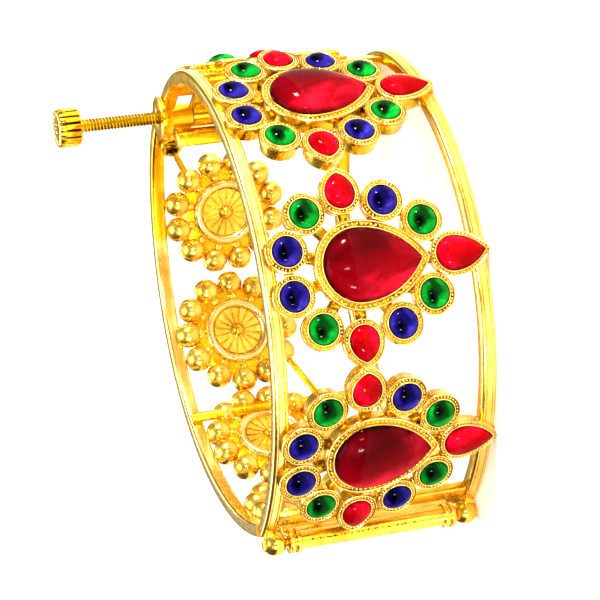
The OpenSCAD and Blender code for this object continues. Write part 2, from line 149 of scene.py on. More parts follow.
class BangleColours(bpy.types.PropertyGroup):
    """Colours of the metal, the stones and the floor."""

    gold: colour_of("Gold", "Colour of the polished gold", (0.96, 0.63, 0.02))
    gold_deep: colour_of(
        "Deep gold", "Colour of the gold where it is less polished", (0.8, 0.42, 0.003)
    )
    # Pale gold paints worn gold and also painted highlight.
    gold_pale: colour_of(
        "Pale gold", "Colour of the gold where it is worn and bright", (0.88, 0.69, 0.29)
    )
    # This dark colour paints grime and also painted shade in recesses, holes, grooves and under
    # beads.
    tarnish: colour_of("Tarnish", "Colour in the recesses of the metal", (0.07, 0.018, 0.002))
    # A stone's colour here is its painted shaded side; its lit side is painted with a lighter
    # colour.
    ruby: colour_of("Large stones", "Colour of the large pear stones", (0.04, 0.0, 0.0005))
    red: colour_of("Red stones", "Colour of the small red stones", (0.2, 0.0, 0.001))
    green: colour_of("Green stones", "Colour of the green stones", (0.0, 0.018, 0.0006))
    blue: colour_of("Blue stones", "Colour of the blue stones", (0.0015, 0.0004, 0.038))
    floor: colour_of("Floor", "Colour of the floor", (0.93, 0.92, 0.905))


def sizes():
    return bpy.context.scene.bangle_sizes


def colours():
    return bpy.context.scene.bangle_colours


# Places as matrices, in metres


def move(x, y, z):
    return Matrix.Translation((x * MM, y * MM, z * MM))


def turn(degrees, axis="Z"):
    return Matrix.Rotation(math.radians(degrees), 4, axis)


# A piece drawn upright is laid with its top outward and its y along the wrist
OUTWARD = Matrix(((0, 0, 1, 0), (1, 0, 0, 0), (0, 1, 0, 0), (0, 0, 0, 1)))


def bent(s, w):
    """Place on a medallion's bent surface: s along the arc, w along the wrist."""
    return (
        move(GIRDLE_R - BEND_R, 0, 0)
        @ Matrix.Rotation(s / BEND_R, 4, "Z")
        @ move(BEND_R, 0, w)
        @ OUTWARD
    )


def medallion_place(angle):
    return move(*SEAT) @ move(*FRONT, MID_Z) @ turn(180 + angle)


def nose_place(s, w):
    """Place on the closure end's tighter bend: s from its start, w along the wrist."""
    return (
        move(*SEAT)
        @ move(*NOSE, MID_Z)
        @ Matrix.Rotation(math.radians(NOSE_START) - s / NOSE_R, 4, "Z")
        @ move(NOSE_R + NOSE_PROUD, 0, w)
        @ OUTWARD
    )


def back_place(angle, w):
    return move(*SEAT) @ move(*BACK, MID_Z + w) @ turn(180 - angle)


def flower_place(angle, w, twist):
    return back_place(angle, w) @ move(FLOWER_R, 0, 0) @ turn(90, "Y") @ turn(twist)


# Making pieces


def deselect():
    if bpy.context.object and bpy.context.object.mode != "OBJECT":
        bpy.ops.object.mode_set(mode="OBJECT")
    bpy.ops.object.select_all(action="DESELECT")


def choose(*pieces):
    """Selects these pieces alone, with the first of them active."""
    deselect()
    for piece in pieces:
        piece.select_set(True)
    bpy.context.view_layer.objects.active = pieces[0]


def named(piece, name):
    piece.name = name
    piece.data.name = name
    return piece


def select_all(kind=None):
    """Selects all of a mesh in edit mode, by its verts, edges or faces."""
    if kind:
        bpy.ops.mesh.select_mode(type=kind)
    bpy.ops.mesh.select_all(action="SELECT")


def start(kind, name, **how):
    """A new primitive at its size and place, in edit mode with all of it selected."""
    deselect()
    getattr(bpy.ops.mesh, f"primitive_{kind}_add")(**how)
    piece = named(bpy.context.object, name)
    bpy.ops.object.transform_apply(location=True, rotation=True, scale=True)
    bpy.ops.object.mode_set(mode="EDIT")
    select_all("VERT")
    return piece


def done():
    bpy.ops.object.mode_set(mode="OBJECT")


def pick(piece, kind, test):
    """Selects the verts or faces in edit mode that pass a test."""
    bpy.ops.mesh.select_mode(type={"verts": "VERT", "faces": "FACE"}[kind])
    bpy.ops.mesh.select_all(action="DESELECT")
    work = bmesh.from_edit_mesh(piece.data)
    for item in getattr(work, kind):
        if test(item):
            item.select_set(True)
    work.select_flush_mode()
    bmesh.update_edit_mesh(piece.data)


def close_up(piece, gap=1e-7):
    """Merges doubles and turns every face outward."""
    select_all()
    bpy.ops.mesh.remove_doubles(threshold=gap)
    select_all()
    bpy.ops.mesh.normals_make_consistent(inside=False)
    if bmesh.from_edit_mesh(piece.data).calc_volume(signed=True) < 0:
        bpy.ops.mesh.flip_normals()


def scale_across(grow):
    bpy.ops.transform.resize(value=(grow, grow, 1), center_override=(0, 0, 0))


def rise(dz, grow=1.0):
    """Extrudes the selected face up by dz mm and scales it about the z axis."""
    bpy.ops.mesh.extrude_region_move(TRANSFORM_OT_translate={"value": (0, 0, dz * MM)})
    if grow != 1.0:
        scale_across(grow)


def drawn(name, line):
    """A line through (x, z) points in mm, in edit mode."""
    piece = start("plane", name, size=MM)
    bpy.ops.mesh.merge(type="CENTER")
    was = Vector((0, 0, 0))
    for i, (x, z) in enumerate(line):
        to = Vector((x * MM, 0, z * MM))
        if i == 0:
            bpy.ops.transform.translate(value=to - was)
        else:
            bpy.ops.mesh.extrude_vertices_move(TRANSFORM_OT_translate={"value": to - was})
        was = to
    return piece


def lathe(name, profile, steps):
    """Turns a line of (radius, height) points in mm round the z axis."""
    piece = drawn(name, profile)
    select_all()
    bpy.ops.mesh.spin(steps=steps, angle=TURN, center=(0, 0, 0), axis=(0, 0, 1))
    close_up(piece)
    done()
    return piece


def copied(piece, place, name=None):
    """A copy with its own mesh, its place in the mesh."""
    twin = piece.copy()
    twin.data = piece.data.copy()
    twin.data.transform(place)
    if place.determinant() < 0:
        twin.data.flip_normals()
    if name:
        named(twin, name)
    bpy.context.collection.objects.link(twin)
    return twin


def joined(pieces, name):
    choose(*pieces)
    bpy.ops.object.join()
    return named(bpy.context.object, name)


def scrap(*pieces):
    for piece in pieces:
        bpy.data.objects.remove(piece, do_unlink=True)


def deepen(piece, depth_of):
    """Stores each point's recess value: above 0 grime and painted shade, black by 4; below 0,
    down to -1, pale worn gold and painted highlight.
    """
    mesh = piece.data
    layer = mesh.attributes.get("recess") or mesh.attributes.new("recess", "FLOAT", "POINT")
    for i, vert in enumerate(mesh.vertices):
        layer.data[i].value = depth_of(vert.co / MM)


def evenly(depth):
    """A recess value that is the same all over a piece."""
    return lambda p: depth


def finish_piece(piece, body, finish, node):
    """Gives a piece its look, its body and the node that it stands for."""
    piece.data.materials.clear()
    piece.data.materials.append(look(finish))
    choose(piece)
    bpy.ops.object.shade_smooth_by_angle(angle=CREASE)
    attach(piece, body)
    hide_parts(node)
    deselect()


def softened(node, name, width=None):
    """A copy of a node with its faces joined up and its edges rounded."""
    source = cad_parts[node]
    piece = source.copy()
    piece.data = source.data.copy()
    piece.parent = None
    piece.matrix_world = Matrix.Identity(4)
    named(piece, name)
    for key in list(piece.keys()):
        del piece[key]
    bpy.context.collection.objects.link(piece)
    piece.hide_viewport = False
    piece.hide_render = False
    choose(piece)
    if piece.data.has_custom_normals:
        bpy.ops.mesh.customdata_custom_splitnormals_clear()
    bpy.ops.object.mode_set(mode="EDIT")
    select_all()
    bpy.ops.mesh.remove_doubles(threshold=2e-7)
    bpy.ops.mesh.dissolve_limited(angle_limit=math.radians(0.6))
    done()
    rounding = piece.modifiers.new("round", "BEVEL")
    rounding.width = sizes().edge_round if width is None else width * MM
    rounding.segments = 2
    rounding.limit_method = "ANGLE"
    rounding.angle_limit = CREASE
    rounding.use_clamp_overlap = True
    bpy.ops.object.modifier_apply(modifier="round")
    return piece


def dressed(node, name, body, finish, recess_of, width=None):
    """Rounds the edges of a bar or plate and gives it its recess values and look."""
    piece = softened(node, name, width)
    deepen(piece, recess_of)
    finish_piece(piece, body, finish, node)


# Outlines of the stones


def pear_ring(r, l, wider, count):
    """Points round a pear that is wider all round than a stone of radius r and length l."""
    out = r + wider
    half, quarter = count // 2, count // 4
    if l <= r:
        return [
            (-out * math.cos(TURN * i / count), -out * math.sin(TURN * i / count))
            for i in range(count)
        ]
    flank = (l * l - r * r) / (2 * r)
    far = r + flank + wider
    end = math.acos(flank / far)
    low = [math.pi * i / half for i in range(half)]
    points = [(-out * math.cos(a), -out * math.sin(a)) for a in low]
    side = [end * i / quarter for i in range(quarter)]
    points += [(far * math.cos(b) - flank, far * math.sin(b)) for b in side]
    side = [end * (1 - i / quarter) for i in range(quarter)]
    return points + [(flank - far * math.cos(b), far * math.sin(b)) for b in side]


def spaced(line, pitch):
    """Points a pitch apart, as near as they fit, round a closed line."""
    line = line + [line[0]]
    steps = [math.dist(p, q) for p, q in zip(line, line[1:])]
    count = round(sum(steps) / pitch)
    apart = sum(steps) / count
    points, gone, k = [], 0.0, 0
    for i in range(count):
        while gone + steps[k] < i * apart:
            gone += steps[k]
            k += 1
        t = (i * apart - gone) / steps[k]
        points.append(tuple(a + t * (b - a) for a, b in zip(line[k], line[k + 1])))
    return points


def lay(piece, points, z, deep):
    """Puts the corners of the selected face on a ring of points, with their recess value."""
    work = bmesh.from_edit_mesh(piece.data)
    layer = work.verts.layers.float.get("recess") or work.verts.layers.float.new("recess")
    face = next(f for f in work.faces if f.select)
    corners = [loop.vert for loop in face.loops]
    pairs = zip(corners, corners[1:] + corners[:1])
    if sum(a.co.x * b.co.y - b.co.x * a.co.y for a, b in pairs) < 0:
        corners.reverse()
    first = min(range(len(corners)), key=lambda i: corners[i].co.x)
    for vert, (x, y) in zip(corners[first:] + corners[:first], points):
        vert.co = (x * MM, y * MM, z * MM)
        vert[layer] = deep
    bmesh.update_edit_mesh(piece.data)


def stacked(name, rings, closed_top=False):
    """A filled circle extruded from ring to ring; each ring is its points, height and recess."""
    corners = len(rings[0][0])
    piece = start("circle", name, vertices=corners, radius=MM, fill_type="NGON")
    select_all("FACE")
    for i, (points, z, deep) in enumerate(rings):
        if i:
            bpy.ops.mesh.extrude_region_move()
        lay(piece, points, z, deep)
    if closed_top:
        bpy.ops.mesh.merge(type="CENTER")
    close_up(piece)
    done()
    return piece


def stone(name, r, l, low, edge, dome, count, rings=8):
    """A cabochon: a low girdle, then rings that draw in over a round dome to a closed top."""
    base = pear_ring(r, l, 0, count)
    line = [(base, low, 0.0), (base, edge, 0.0)]
    for i in range(1, rings + 1):
        a = math.pi / 2 * min(i / rings, 0.985)
        small = [(x * math.cos(a), y * math.cos(a)) for x, y in base]
        line.append((small, edge + dome * math.sin(a), 0.0))
    piece = stacked(name, line, closed_top=True)
    mesh = piece.data
    mesh.attributes.remove(mesh.attributes["recess"])
    face = mesh.attributes.new("face", "FLOAT_VECTOR", "POINT")
    for i, v in enumerate(mesh.vertices):
        x, y, _ = v.co / MM
        along = (2 * y - l + r) / (l + r)
        far = math.hypot(x / r, y / (l if y > 0 else r))
        face.data[i].vector = (x / r, along, min(1.0, far))
    return piece


def milgrain(name, line, grow, z):
    """A row of beads along a closed line, grown from the usual bead and pitch."""
    radius = sizes().bead_radius * grow
    piece = start("uv_sphere", name, segments=8, ring_count=5, radius=radius)
    done()
    # Painted highlight and shade: each bead's top is pale and its underside dark.
    deepen(piece, lambda p: -0.5 if p.z > 0 else 0.5)
    points = spaced(line, sizes().bead_pitch * grow / MM)
    row = [copied(piece, move(x, y, z)) for x, y in points]
    scrap(piece)
    return joined(row, name)


def cup(name, r, l, count, rows):
    """A setting round a pear; each row is its distance from the stone, height and recess."""
    return stacked(name, [(pear_ring(r, l, out, count), z, deep) for out, z, deep in rows])


def collet(name, r, l, low, count, wall=0.9):
    """A tapered cup with a plain rim, a milgrain channel and a thin lip round its stone."""
    lip, inner, channel = 0.3, wall - 0.26, 0.2
    # The recess values paint shade at the foot, grime and shade in the milgrain channel, and a
    # painted shadow where the lip meets the stone; they paint the rim and lip tops pale, worn
    # gold and painted highlight.
    rows = [(wall - 0.45, low, 0.3), (wall - 0.4, low + 0.1, 0.5)]
    if low < -1.5:
        rows.append((wall - 0.25, -1.0, 0.35))
    rows += [
        (wall - 0.09, -0.45, 0.0), (wall - 0.01, 0.0, -0.4), (wall, 0.16, -0.8),
        (wall - 0.05, 0.31, -1.0), (wall - 0.15, 0.37, -1.0), (wall - 0.23, 0.32, 0.0),
        (inner, channel, 1.0), (lip, channel, 1.0), (lip - 0.02, 0.38, 0.0),
        (lip - 0.1, 0.47, -1.0), (lip - 0.2, 0.47, -1.0), (lip - 0.27, 0.38, 0.2),
        (lip - 0.28, -0.45, 1.0),
    ]
    piece = cup(name, r, l, count, rows)
    middle = pear_ring(r, l, (inner + lip) / 2, ROW_POINTS)
    return joined([piece, milgrain(name + "_row", middle, 1.0, channel)], name)


def bezel(name):
    """The large pear bezel: smooth rim, broad milgrain band and smooth inner lip."""
    # As in a collet, the recess values paint shade at the foot, grime and shade in the milgrain
    # band, a painted shadow round the stone, and pale worn gold with painted highlight on the
    # rim and lip.
    rows = (
        (0.6, -2.0, 0.3), (0.67, -1.85, 0.5), (0.95, -0.9, 0.35), (1.12, -0.2, 0.0),
        (1.15, 0.4, -0.4), (1.12, 0.56, -0.9), (1.03, 0.66, -1.0), (0.92, 0.67, -1.0),
        (0.84, 0.6, 0.0), (0.82, 0.48, 1.0), (0.24, 0.52, 1.0), (0.22, 0.74, 0.0),
        (0.15, 0.84, -1.0), (0.04, 0.84, -1.0), (-0.02, 0.74, 0.2), (-0.03, -0.45, 1.0),
    )
    piece = cup(name, RUBY_R, RUBY_L, 96, rows)
    middle = pear_ring(RUBY_R, RUBY_L, 0.53, ROW_POINTS)
    return joined([piece, milgrain(name + "_row", middle, 1.35, 0.46)], name)


def web(s, w):
    """The small rounded bar from the bezel to a collet of the ring."""
    away = math.degrees(math.atan2(w - RUBY_W, s))
    near, short, thick = 5.3, 1.9, 1.4
    reach = math.hypot(s, w - RUBY_W) - near - short
    piece = start("cube", "web", size=thick * MM)
    bpy.ops.transform.resize(value=(reach / thick, 1.15, 0.9))
    bpy.ops.transform.translate(value=((near + reach / 2) * MM, 0, -1.3 * MM))
    bpy.ops.mesh.bevel(offset=0.3 * MM, segments=3, affect="EDGES")
    close_up(piece)
    done()
    # Painted shade: the web is darkened all over.
    deepen(piece, evenly(0.9))
    piece.data.transform(bent(0, RUBY_W) @ turn(away))
    return piece


def solder(a, b):
    """The small lump of solder where two neighbouring collets of the ring meet."""
    lump = start("ico_sphere", "solder", subdivisions=2, radius=0.62 * MM)
    bpy.ops.transform.resize(value=(0.8, 1.15, 1.0))
    done()
    # Painted shade: the solder lump is darkened all over.
    deepen(lump, evenly(0.7))
    away = math.degrees(math.atan2(b[1] - a[1], b[0] - a[0]))
    between = bent((a[0] + b[0]) / 2, (a[1] + b[1]) / 2)
    lump.data.transform(between @ move(0, 0, -0.55) @ turn(away))
    return lump


# Materials. A value given to a node is a number, a colour, a node whose first output
# is meant, or a pair of a node and its output.


def feed(tree, made, sockets):
    for key, value in sockets.items():
        if isinstance(value, bpy.types.Node):
            value = (value, 0)
        if isinstance(value, tuple) and isinstance(value[0], bpy.types.Node):
            tree.links.new(value[0].outputs[value[1]], made.inputs[key])
        else:
            made.inputs[key].default_value = value


def add(tree, kind, sockets=None, **settings):
    made = tree.nodes.new(kind)
    for key, value in settings.items():
        setattr(made, key, value)
    feed(tree, made, sockets or {})
    return made


def maths(tree, operation, a, b, clamp=False):
    return add(tree, "ShaderNodeMath", {0: a, 1: b}, operation=operation, use_clamp=clamp)


def vector(tree, operation, sockets):
    return add(tree, "ShaderNodeVectorMath", sockets, operation=operation)


def ranged(tree, value, low, high, to_low, to_high):
    """Carries a value from one range to another and holds it inside."""
    sockets = {0: value, 1: low, 2: high, 3: to_low, 4: to_high}
    return add(tree, "ShaderNodeMapRange", sockets)


def noise(tree, where, scale, detail=2.0, distortion=0.0):
    sockets = {"Vector": where, "Scale": scale, "Detail": detail, "Distortion": distortion}
    return add(tree, "ShaderNodeTexNoise", sockets)


def mixed(tree, factor, a, b):
    """The colour output of a Mix node."""
    return add(tree, "ShaderNodeMix", {0: factor, 6: a, 7: b}, data_type="RGBA"), 2


def group(name, inputs, outputs):
    """An empty node group of numbers, and of vectors where an input has no default."""
    tree = bpy.data.node_groups.new(name, "ShaderNodeTree")
    for label, value in inputs.items():
        kind = "NodeSocketVector" if value is None else "NodeSocketFloat"
        socket = tree.interface.new_socket(label, in_out="INPUT", socket_type=kind)
        if value is not None:
            socket.default_value = value
    for label in outputs:
        tree.interface.new_socket(label, in_out="OUTPUT", socket_type="NodeSocketFloat")
    return tree, tree.nodes.new("NodeGroupInput"), tree.nodes.new("NodeGroupOutput")


def cast_skin():
    """Fine skin of cast and polished metal: a slow tone, a polish mask and a fine height."""
    inputs = {"Vector": None, "Scale": 1.0}
    tree, into, out = group("cast_skin", inputs, ("Tone", "Polish", "Height"))
    scaled = vector(tree, "SCALE", {0: (into, "Vector"), "Scale": (into, "Scale")})
    slow = noise(tree, scaled, 420, 3)
    fine = noise(tree, scaled, 2600, 4)
    lumps = noise(tree, scaled, 900)
    height = maths(tree, "ADD", maths(tree, "MULTIPLY", fine, 0.3), lumps)
    tone = ranged(tree, slow, 0.35, 0.68, 0, 1)
    polish = ranged(tree, fine, 0.3, 0.75, 0, 1)
    feed(tree, out, {"Tone": tone, "Polish": polish, "Height": height})
    return tree


def sand_pits():
    """Small dark pits of casting sand in patches, and painted shade over the whole patch, where
    the recess value is high.
    """
    inputs = {"Vector": None, "Recess": 0.0, "Size": 1500.0, "Clean": 0.4, "Least": 0.35}
    tree, into, out = group("sand_pits", inputs, ("Dirt",))
    spots = noise(tree, (into, "Vector"), (into, "Size"))
    over = maths(tree, "SUBTRACT", spots, (into, "Clean"))
    soft = ranged(tree, over, 0, 0.12, 0, 1)
    held = maths(tree, "MAXIMUM", soft, (into, "Least"))
    patches = ranged(tree, noise(tree, (into, "Vector"), 190), 0.4, 0.6, 0.3, 1)
    packed = maths(tree, "MULTIPLY", held, patches)
    grime_and_shade = maths(tree, "MULTIPLY", packed, (into, "Recess"), clamp=True)
    feed(tree, out, {"Dirt": grime_and_shade})
    return tree


def foiled_cabochon():
    """Painted light in a foiled cabochon: a dark pupil of painted reflection, lit crescents
    beside it, a shaded edge and a shaded side.
    """
    inputs = {"Face": None, "Vector": None}
    inputs |= {"Turn": 1.0, "Pupil": 0.35, "Streaks": 0.5, "Even": 0.6}
    tree, into, out = group("foiled_cabochon", inputs, ("Dark", "Lit", "Side"))
    face, place, even = (into, "Face"), (into, "Vector"), (into, "Even")
    turned = vector(tree, "SCALE", {0: face, "Scale": (into, "Turn")})

    # The painted dark pupil sits low, and to the other side in the medallion next to the hinge
    across = add(tree, "ShaderNodeSeparateXYZ", {0: place})
    aside = ranged(tree, across, -0.0215, -0.017, -0.42, 0.16)
    lift = add(tree, "ShaderNodeCombineXYZ", {0: aside, 1: -0.3})
    shifted = vector(tree, "ADD", {0: turned, 1: lift})
    oval = vector(tree, "MULTIPLY", {0: shifted, 1: (0.75, 1.1, 0)})
    far = (vector(tree, "LENGTH", {0: oval}), "Value")
    where = vector(tree, "MULTIPLY_ADD", {0: place, 1: (40, 40, 40), 2: turned})
    wobble = ranged(tree, noise(tree, where, 1.6, 3), 0.2, 0.8, -0.16, 0.16)
    uneven = maths(tree, "ADD", far, wobble)
    past = maths(tree, "SUBTRACT", uneven, (into, "Pupil"))
    eye = ranged(tree, past, -0.14, 0.18, 1, 0)
    # Painted shade: the stone darkens at its edge.
    radial = add(tree, "ShaderNodeSeparateXYZ", {0: face})
    edge = ranged(tree, (radial, 2), 0.9, 1.0, 0, 0.9)
    dark = maths(tree, "MAXIMUM", eye, edge)

    def lobe(toward, first, over, strength):
        lean = vector(tree, "DOT_PRODUCT", {0: turned, 1: toward})
        return ranged(tree, (lean, "Value"), first, first + over, 0, strength)

    # Painted light: lit crescents round the pupil, broken into streaks.
    glow = lobe((0.15, 0.98, 0), 0.25, 0.5, 1.7)
    crescents = maths(tree, "MULTIPLY", glow, even, clamp=True)
    for toward, first, over, strength in (
        ((-0.9, -0.42, 0), 0.12, 0.4, 1.0),
        ((0.35, -0.93, 0), 0.35, 0.3, 0.5),
    ):
        arc = lobe(toward, first, over, strength)
        crescents = maths(tree, "MAXIMUM", crescents, arc)
    ring = ranged(tree, past, 0.02, 0.25, 0, 1)
    round_eye = maths(tree, "MULTIPLY", ring, crescents)
    light_streaks = ranged(tree, noise(tree, where, 1.3, 3, 0.7), 0.36, 0.68, 0, 1)
    broken = maths(tree, "MULTIPLY", round_eye, maths(tree, "MAXIMUM", light_streaks, even))
    lit = maths(tree, "MULTIPLY", broken, (into, "Streaks"), clamp=True)
    # Painted shade: the stone is darker towards one side.
    side = maths(tree, "ADD", lobe((0.95, 0.3, 0), -0.7, 1.2, 1.0), wobble, clamp=True)
    feed(tree, out, {"Dark": dark, "Lit": lit, "Side": side})
    return tree


def placed(tree, build, sockets):
    """A node group in a material, built the first time it is asked for."""
    shared = bpy.data.node_groups.get(build.__name__) or build()
    return add(tree, "ShaderNodeGroup", sockets, node_tree=shared)


def shader_of(name):
    material = bpy.data.materials.new(name)
    material.use_nodes = True
    tree = material.node_tree
    return material, tree, tree.nodes["Principled BSDF"]


def rgba(colour, strength=1.0):
    return (*[min(1.0, c * strength) for c in colour], 1.0)


def gold_material(name, rough, scale, bump, pit_size, clean_part, least_shade_and_grime):
    """Cast gold: slow colour change, uneven polish, fine skin, grime and painted shade where the
    recess value is above 0, and pale worn gold and painted highlight below 0.
    """
    material, tree, shader = shader_of(name)
    where = (add(tree, "ShaderNodeTexCoord"), "Object")
    recess = (add(tree, "ShaderNodeAttribute", attribute_name="recess"), "Fac")
    skin = placed(tree, cast_skin, {"Vector": where, "Scale": scale})
    pits = {"Vector": where, "Recess": recess, "Size": pit_size}
    pits |= {"Clean": clean_part, "Least": least_shade_and_grime}
    grime_and_shade = placed(tree, sand_pits, pits)
    gold, gold_deep = rgba(colours().gold), rgba(colours().gold_deep)
    clean = mixed(tree, (skin, "Tone"), gold, gold_deep)
    # Below 0 the recess value paints pale worn gold and painted highlight.
    pale_amount = maths(tree, "MULTIPLY", recess, -1.0)
    patchy = ranged(tree, (skin, "Tone"), 0, 1, 1, 0.45)
    worn = maths(tree, "MULTIPLY", pale_amount, patchy, clamp=True)
    bright = mixed(tree, worn, clean, rgba(colours().gold_pale))
    polish = ranged(tree, (skin, "Polish"), 0, 1, rough * 0.75, rough * 1.35)
    duller = maths(tree, "MULTIPLY", grime_and_shade, 0.3)
    relief = {"Strength": bump, "Distance": 0.06 * MM, "Height": (skin, "Height")}
    finish = {
        # Above 0 the recess value paints grime and painted shade.
        "Base Color": mixed(tree, grime_and_shade, bright, rgba(colours().tarnish)),
        "Roughness": maths(tree, "ADD", polish, duller),
        "Metallic": 1.0,
        "Normal": add(tree, "ShaderNodeBump", relief),
    }
    feed(tree, shader, finish)
    return material


def stone_material(name, deep, light, bright, dark, pupil, streaks, even, way):
    """Glossy foiled glass with painted light: a deep shaded side and a lighter lit side, lit
    crescents by a dark pupil of painted reflection.
    """
    material, tree, shader = shader_of(name)
    where = (add(tree, "ShaderNodeTexCoord"), "Object")
    face = (add(tree, "ShaderNodeAttribute", attribute_name="face"), "Vector")
    inside = {"Face": face, "Vector": where, "Turn": way}
    inside |= {"Pupil": pupil, "Streaks": streaks, "Even": even}
    foil = placed(tree, foiled_cabochon, inside)
    # Painted shade and light: the stone's own colour on its shaded side, the lighter colour on
    # its lit side.
    body = mixed(tree, (foil, "Side"), rgba(light), rgba(deep))
    lit = mixed(tree, (foil, "Lit"), body, rgba(bright))
    relief = {"Strength": 0.08, "Distance": 0.3 * MM, "Height": noise(tree, where, 260)}
    finish = {
        "Base Color": mixed(tree, (foil, "Dark"), lit, rgba(dark)),
        "Roughness": ranged(tree, (foil, "Dark"), 0, 1, 0.12, 0.06),
        "IOR": 1.5,
        "Specular IOR Level": 0.01,
        "Coat Weight": 0.04,
        "Coat Roughness": 0.015,
        "Normal": add(tree, "ShaderNodeBump", relief),
    }
    feed(tree, shader, finish)
    return material


# Roughness, scale of the skin, bump; size, clean part and least darkening (grime and painted
# shade) of the pits
GOLDS = {
    "rail_gold": (0.2, 1.0, 0.3, 4200, 0.53, 0.0),
    "setting_gold": (0.2, 1.3, 0.4, 1500, 0.4, 0.35),
    "ball_gold": (0.26, 0.8, 0.3, 1500, 0.4, 0.35),
    "flower_gold": (0.24, 0.8, 0.16, 1500, 0.4, 0.35),
    "plate_gold": (0.22, 0.9, 0.25, 3000, 0.5, 0.0),
    "screw_gold": (0.18, 1.1, 0.3, 1500, 0.4, 0.35),
}
# Colours of the painted lit side, the painted lit crescents and the painted dark pupil; then the
# pupil's size, the crescents' strength and evenness, and which way round the painted light falls
# on the stone
STONES = {
    "ruby_stone": (
        (0.19, 0.0, 0.002), (0.62, 0.006, 0.025), (0.006, 0.0, 0.0), -0.5, 0.8, 0.08, -1.0
    ),
    "red_stone": (
        (0.32, 0.0, 0.001), (0.72, 0.003, 0.03), (0.04, 0.0, 0.0), -0.1, 0.8, 0.12, 1.0
    ),
    "green_stone": (
        (0.0, 0.045, 0.001), (0.002, 0.36, 0.025), (0.0, 0.001, 0.0), 0.3, 1.0, 0.5, 1.0
    ),
    "blue_stone": (
        (0.002, 0.0005, 0.07), (0.035, 0.022, 0.3), (0.0, 0.0, 0.001), 0.32, 1.0, 0.4, 1.0
    ),
}


def look(name):
    """The named finish, made the first time it is asked for."""
    if name in bpy.data.materials:
        return bpy.data.materials[name]
    if name in GOLDS:
        return gold_material(name, *GOLDS[name])
    deep = getattr(colours(), name.removesuffix("_stone"))
    return stone_material(name, deep, *STONES[name])


# Rails


def rail_section():
    """Corners of a rail's section from its outer face inward, in mm, rounded and grooved."""
    e = RAIL_CORNER
    arcs = []
    for cx, cy, first in (
        (-e, RAIL_W - e, 0),
        (-RAIL_T + e, RAIL_W - e, 90),
        (-RAIL_T + e, e, 180),
        (-e, e, 270),
    ):
        angles = [math.radians(first + 22.5 * k) for k in range(5)]
        arcs.append([(cx + e * math.cos(a), cy + e * math.sin(a)) for a in angles])
    top, back_top, back_low, low = arcs
    lines = [
        (0.0 if step else -LINE_DEPTH, z + step * reach)
        for z, reach in RAIL_LINES
        for step in (-2, -1, 0, 1, 2)
    ]
    return low + lines + top + back_top + back_low


def rail(name, from_a, nose_a):
    """A rail: its section carried round the long arc, then round the tighter nose."""
    section = rail_section()
    piece = start("circle", name, vertices=len(section), radius=MM, fill_type="NGON")
    work = bmesh.from_edit_mesh(piece.data)
    a = math.radians(180 + from_a)
    for vert, (x, z) in zip(work.verts, section):
        far = ARC_R + x
        vert.co = (
            (FRONT[0] + far * math.cos(a)) * MM,
            (FRONT[1] + far * math.sin(a)) * MM,
            z * MM,
        )
    bmesh.update_edit_mesh(piece.data)
    select_all()
    for centre, steps, degrees in (
        (FRONT, 84, 180 - NOSE_TURN - from_a),
        (NOSE, 30, NOSE_TURN + nose_a),
    ):
        bpy.ops.mesh.spin(
            steps=steps,
            angle=-math.radians(degrees),
            center=(centre[0] * MM, centre[1] * MM, 0),
            axis=(0, 0, 1),
        )
    close_up(piece, 1e-8)
    done()

    def depth(p):
        arc = math.dist(p.xy, FRONT) - ARC_R
        nose = math.dist(p.xy, NOSE) - NOSE_R
        if max(arc, nose) < -0.1:
            return 0.0
        for z, reach in RAIL_LINES:
            off = abs(p.z - z) / reach
            if off < 1.1:
                return 28 * reach if off < 0.2 else 14 * reach
        # The outer face is pale worn gold and painted highlight.
        return -0.8

    deepen(piece, depth)
    return piece


def upper_place():
    """Turns a lower piece of the bangle into its upper one."""
    return move(*SEAT) @ move(0, 0, WIDE) @ Matrix.Scale(-1, 4, (0, 0, 1))


def ball_knuckle():
    """A ball with a bore and a flat for the pin's cap, and its neck."""
    middle, r, bore = 1.8, 1.7, 0.64
    line = [(0.66, 0.3), (0.95, 0.3)]
    for k in range(1, 17):
        a = math.radians(-62 + 152 * k / 17)
        line.append((r * math.cos(a), middle + r * math.sin(a)))
    line += [(bore, middle + r - 0.02), (bore - 0.02, 0.32)]
    ball = lathe("ball", line + [line[0]], 40)
    neck = start("cube", "neck", size=MM)
    bpy.ops.transform.resize(value=(1.9, 1.1, 1.35))
    bpy.ops.mesh.bevel(offset=0.25 * MM, segments=3, affect="EDGES")
    close_up(neck)
    done()
    neck.data.transform(move(1.75, -0.7, 1.05))
    knuckle = joined([ball, neck], "knuckle")
    knuckle.data.transform(move(HINGE_X, 0, 0))
    # Pale worn gold and painted highlight all over.
    deepen(knuckle, evenly(-0.3))
    return knuckle


class BANGLE_OT_rails(bpy.types.Operator):
    """Sweeps the four rails along their arcs and adds the ball knuckles"""

    bl_idname = "bangle.rails"
    bl_label = "Rails and ball knuckles"

    def execute(self, context):
        knuckle = ball_knuckle()
        reach = ARC_R - RAIL_T / 2
        start_front = math.degrees(math.asin(FRONT[1] / reach))
        start_back = math.degrees(math.asin((FRONT[1] + 1.5) / reach))
        front = rail("front_rail", start_front, FRONT_REACH)
        back = rail("back_rail", start_back, BACK_REACH)
        front = joined([front, knuckle], "front_rail")
        mirror = Matrix.Scale(-1, 4, (0, 1, 0))
        for source, half, flip in ((front, "front", Matrix.Identity(4)), (back, "back", mirror)):
            for level, place in (("lower", move(*SEAT)), ("upper", upper_place())):
                piece = copied(source, place @ flip, f"{level}_{half}_rail")
                node = f"{half}_{level}_rail"
                finish_piece(piece, f"{half}_half", "rail_gold", node)
        scrap(front, back)
        return {"FINISHED"}


def stand_on_floor(piece):
    """Files a tip flat where it would reach through the floor."""
    for vert in piece.data.vertices:
        vert.co.z = max(vert.co.z, FLOOR_GAP * MM)


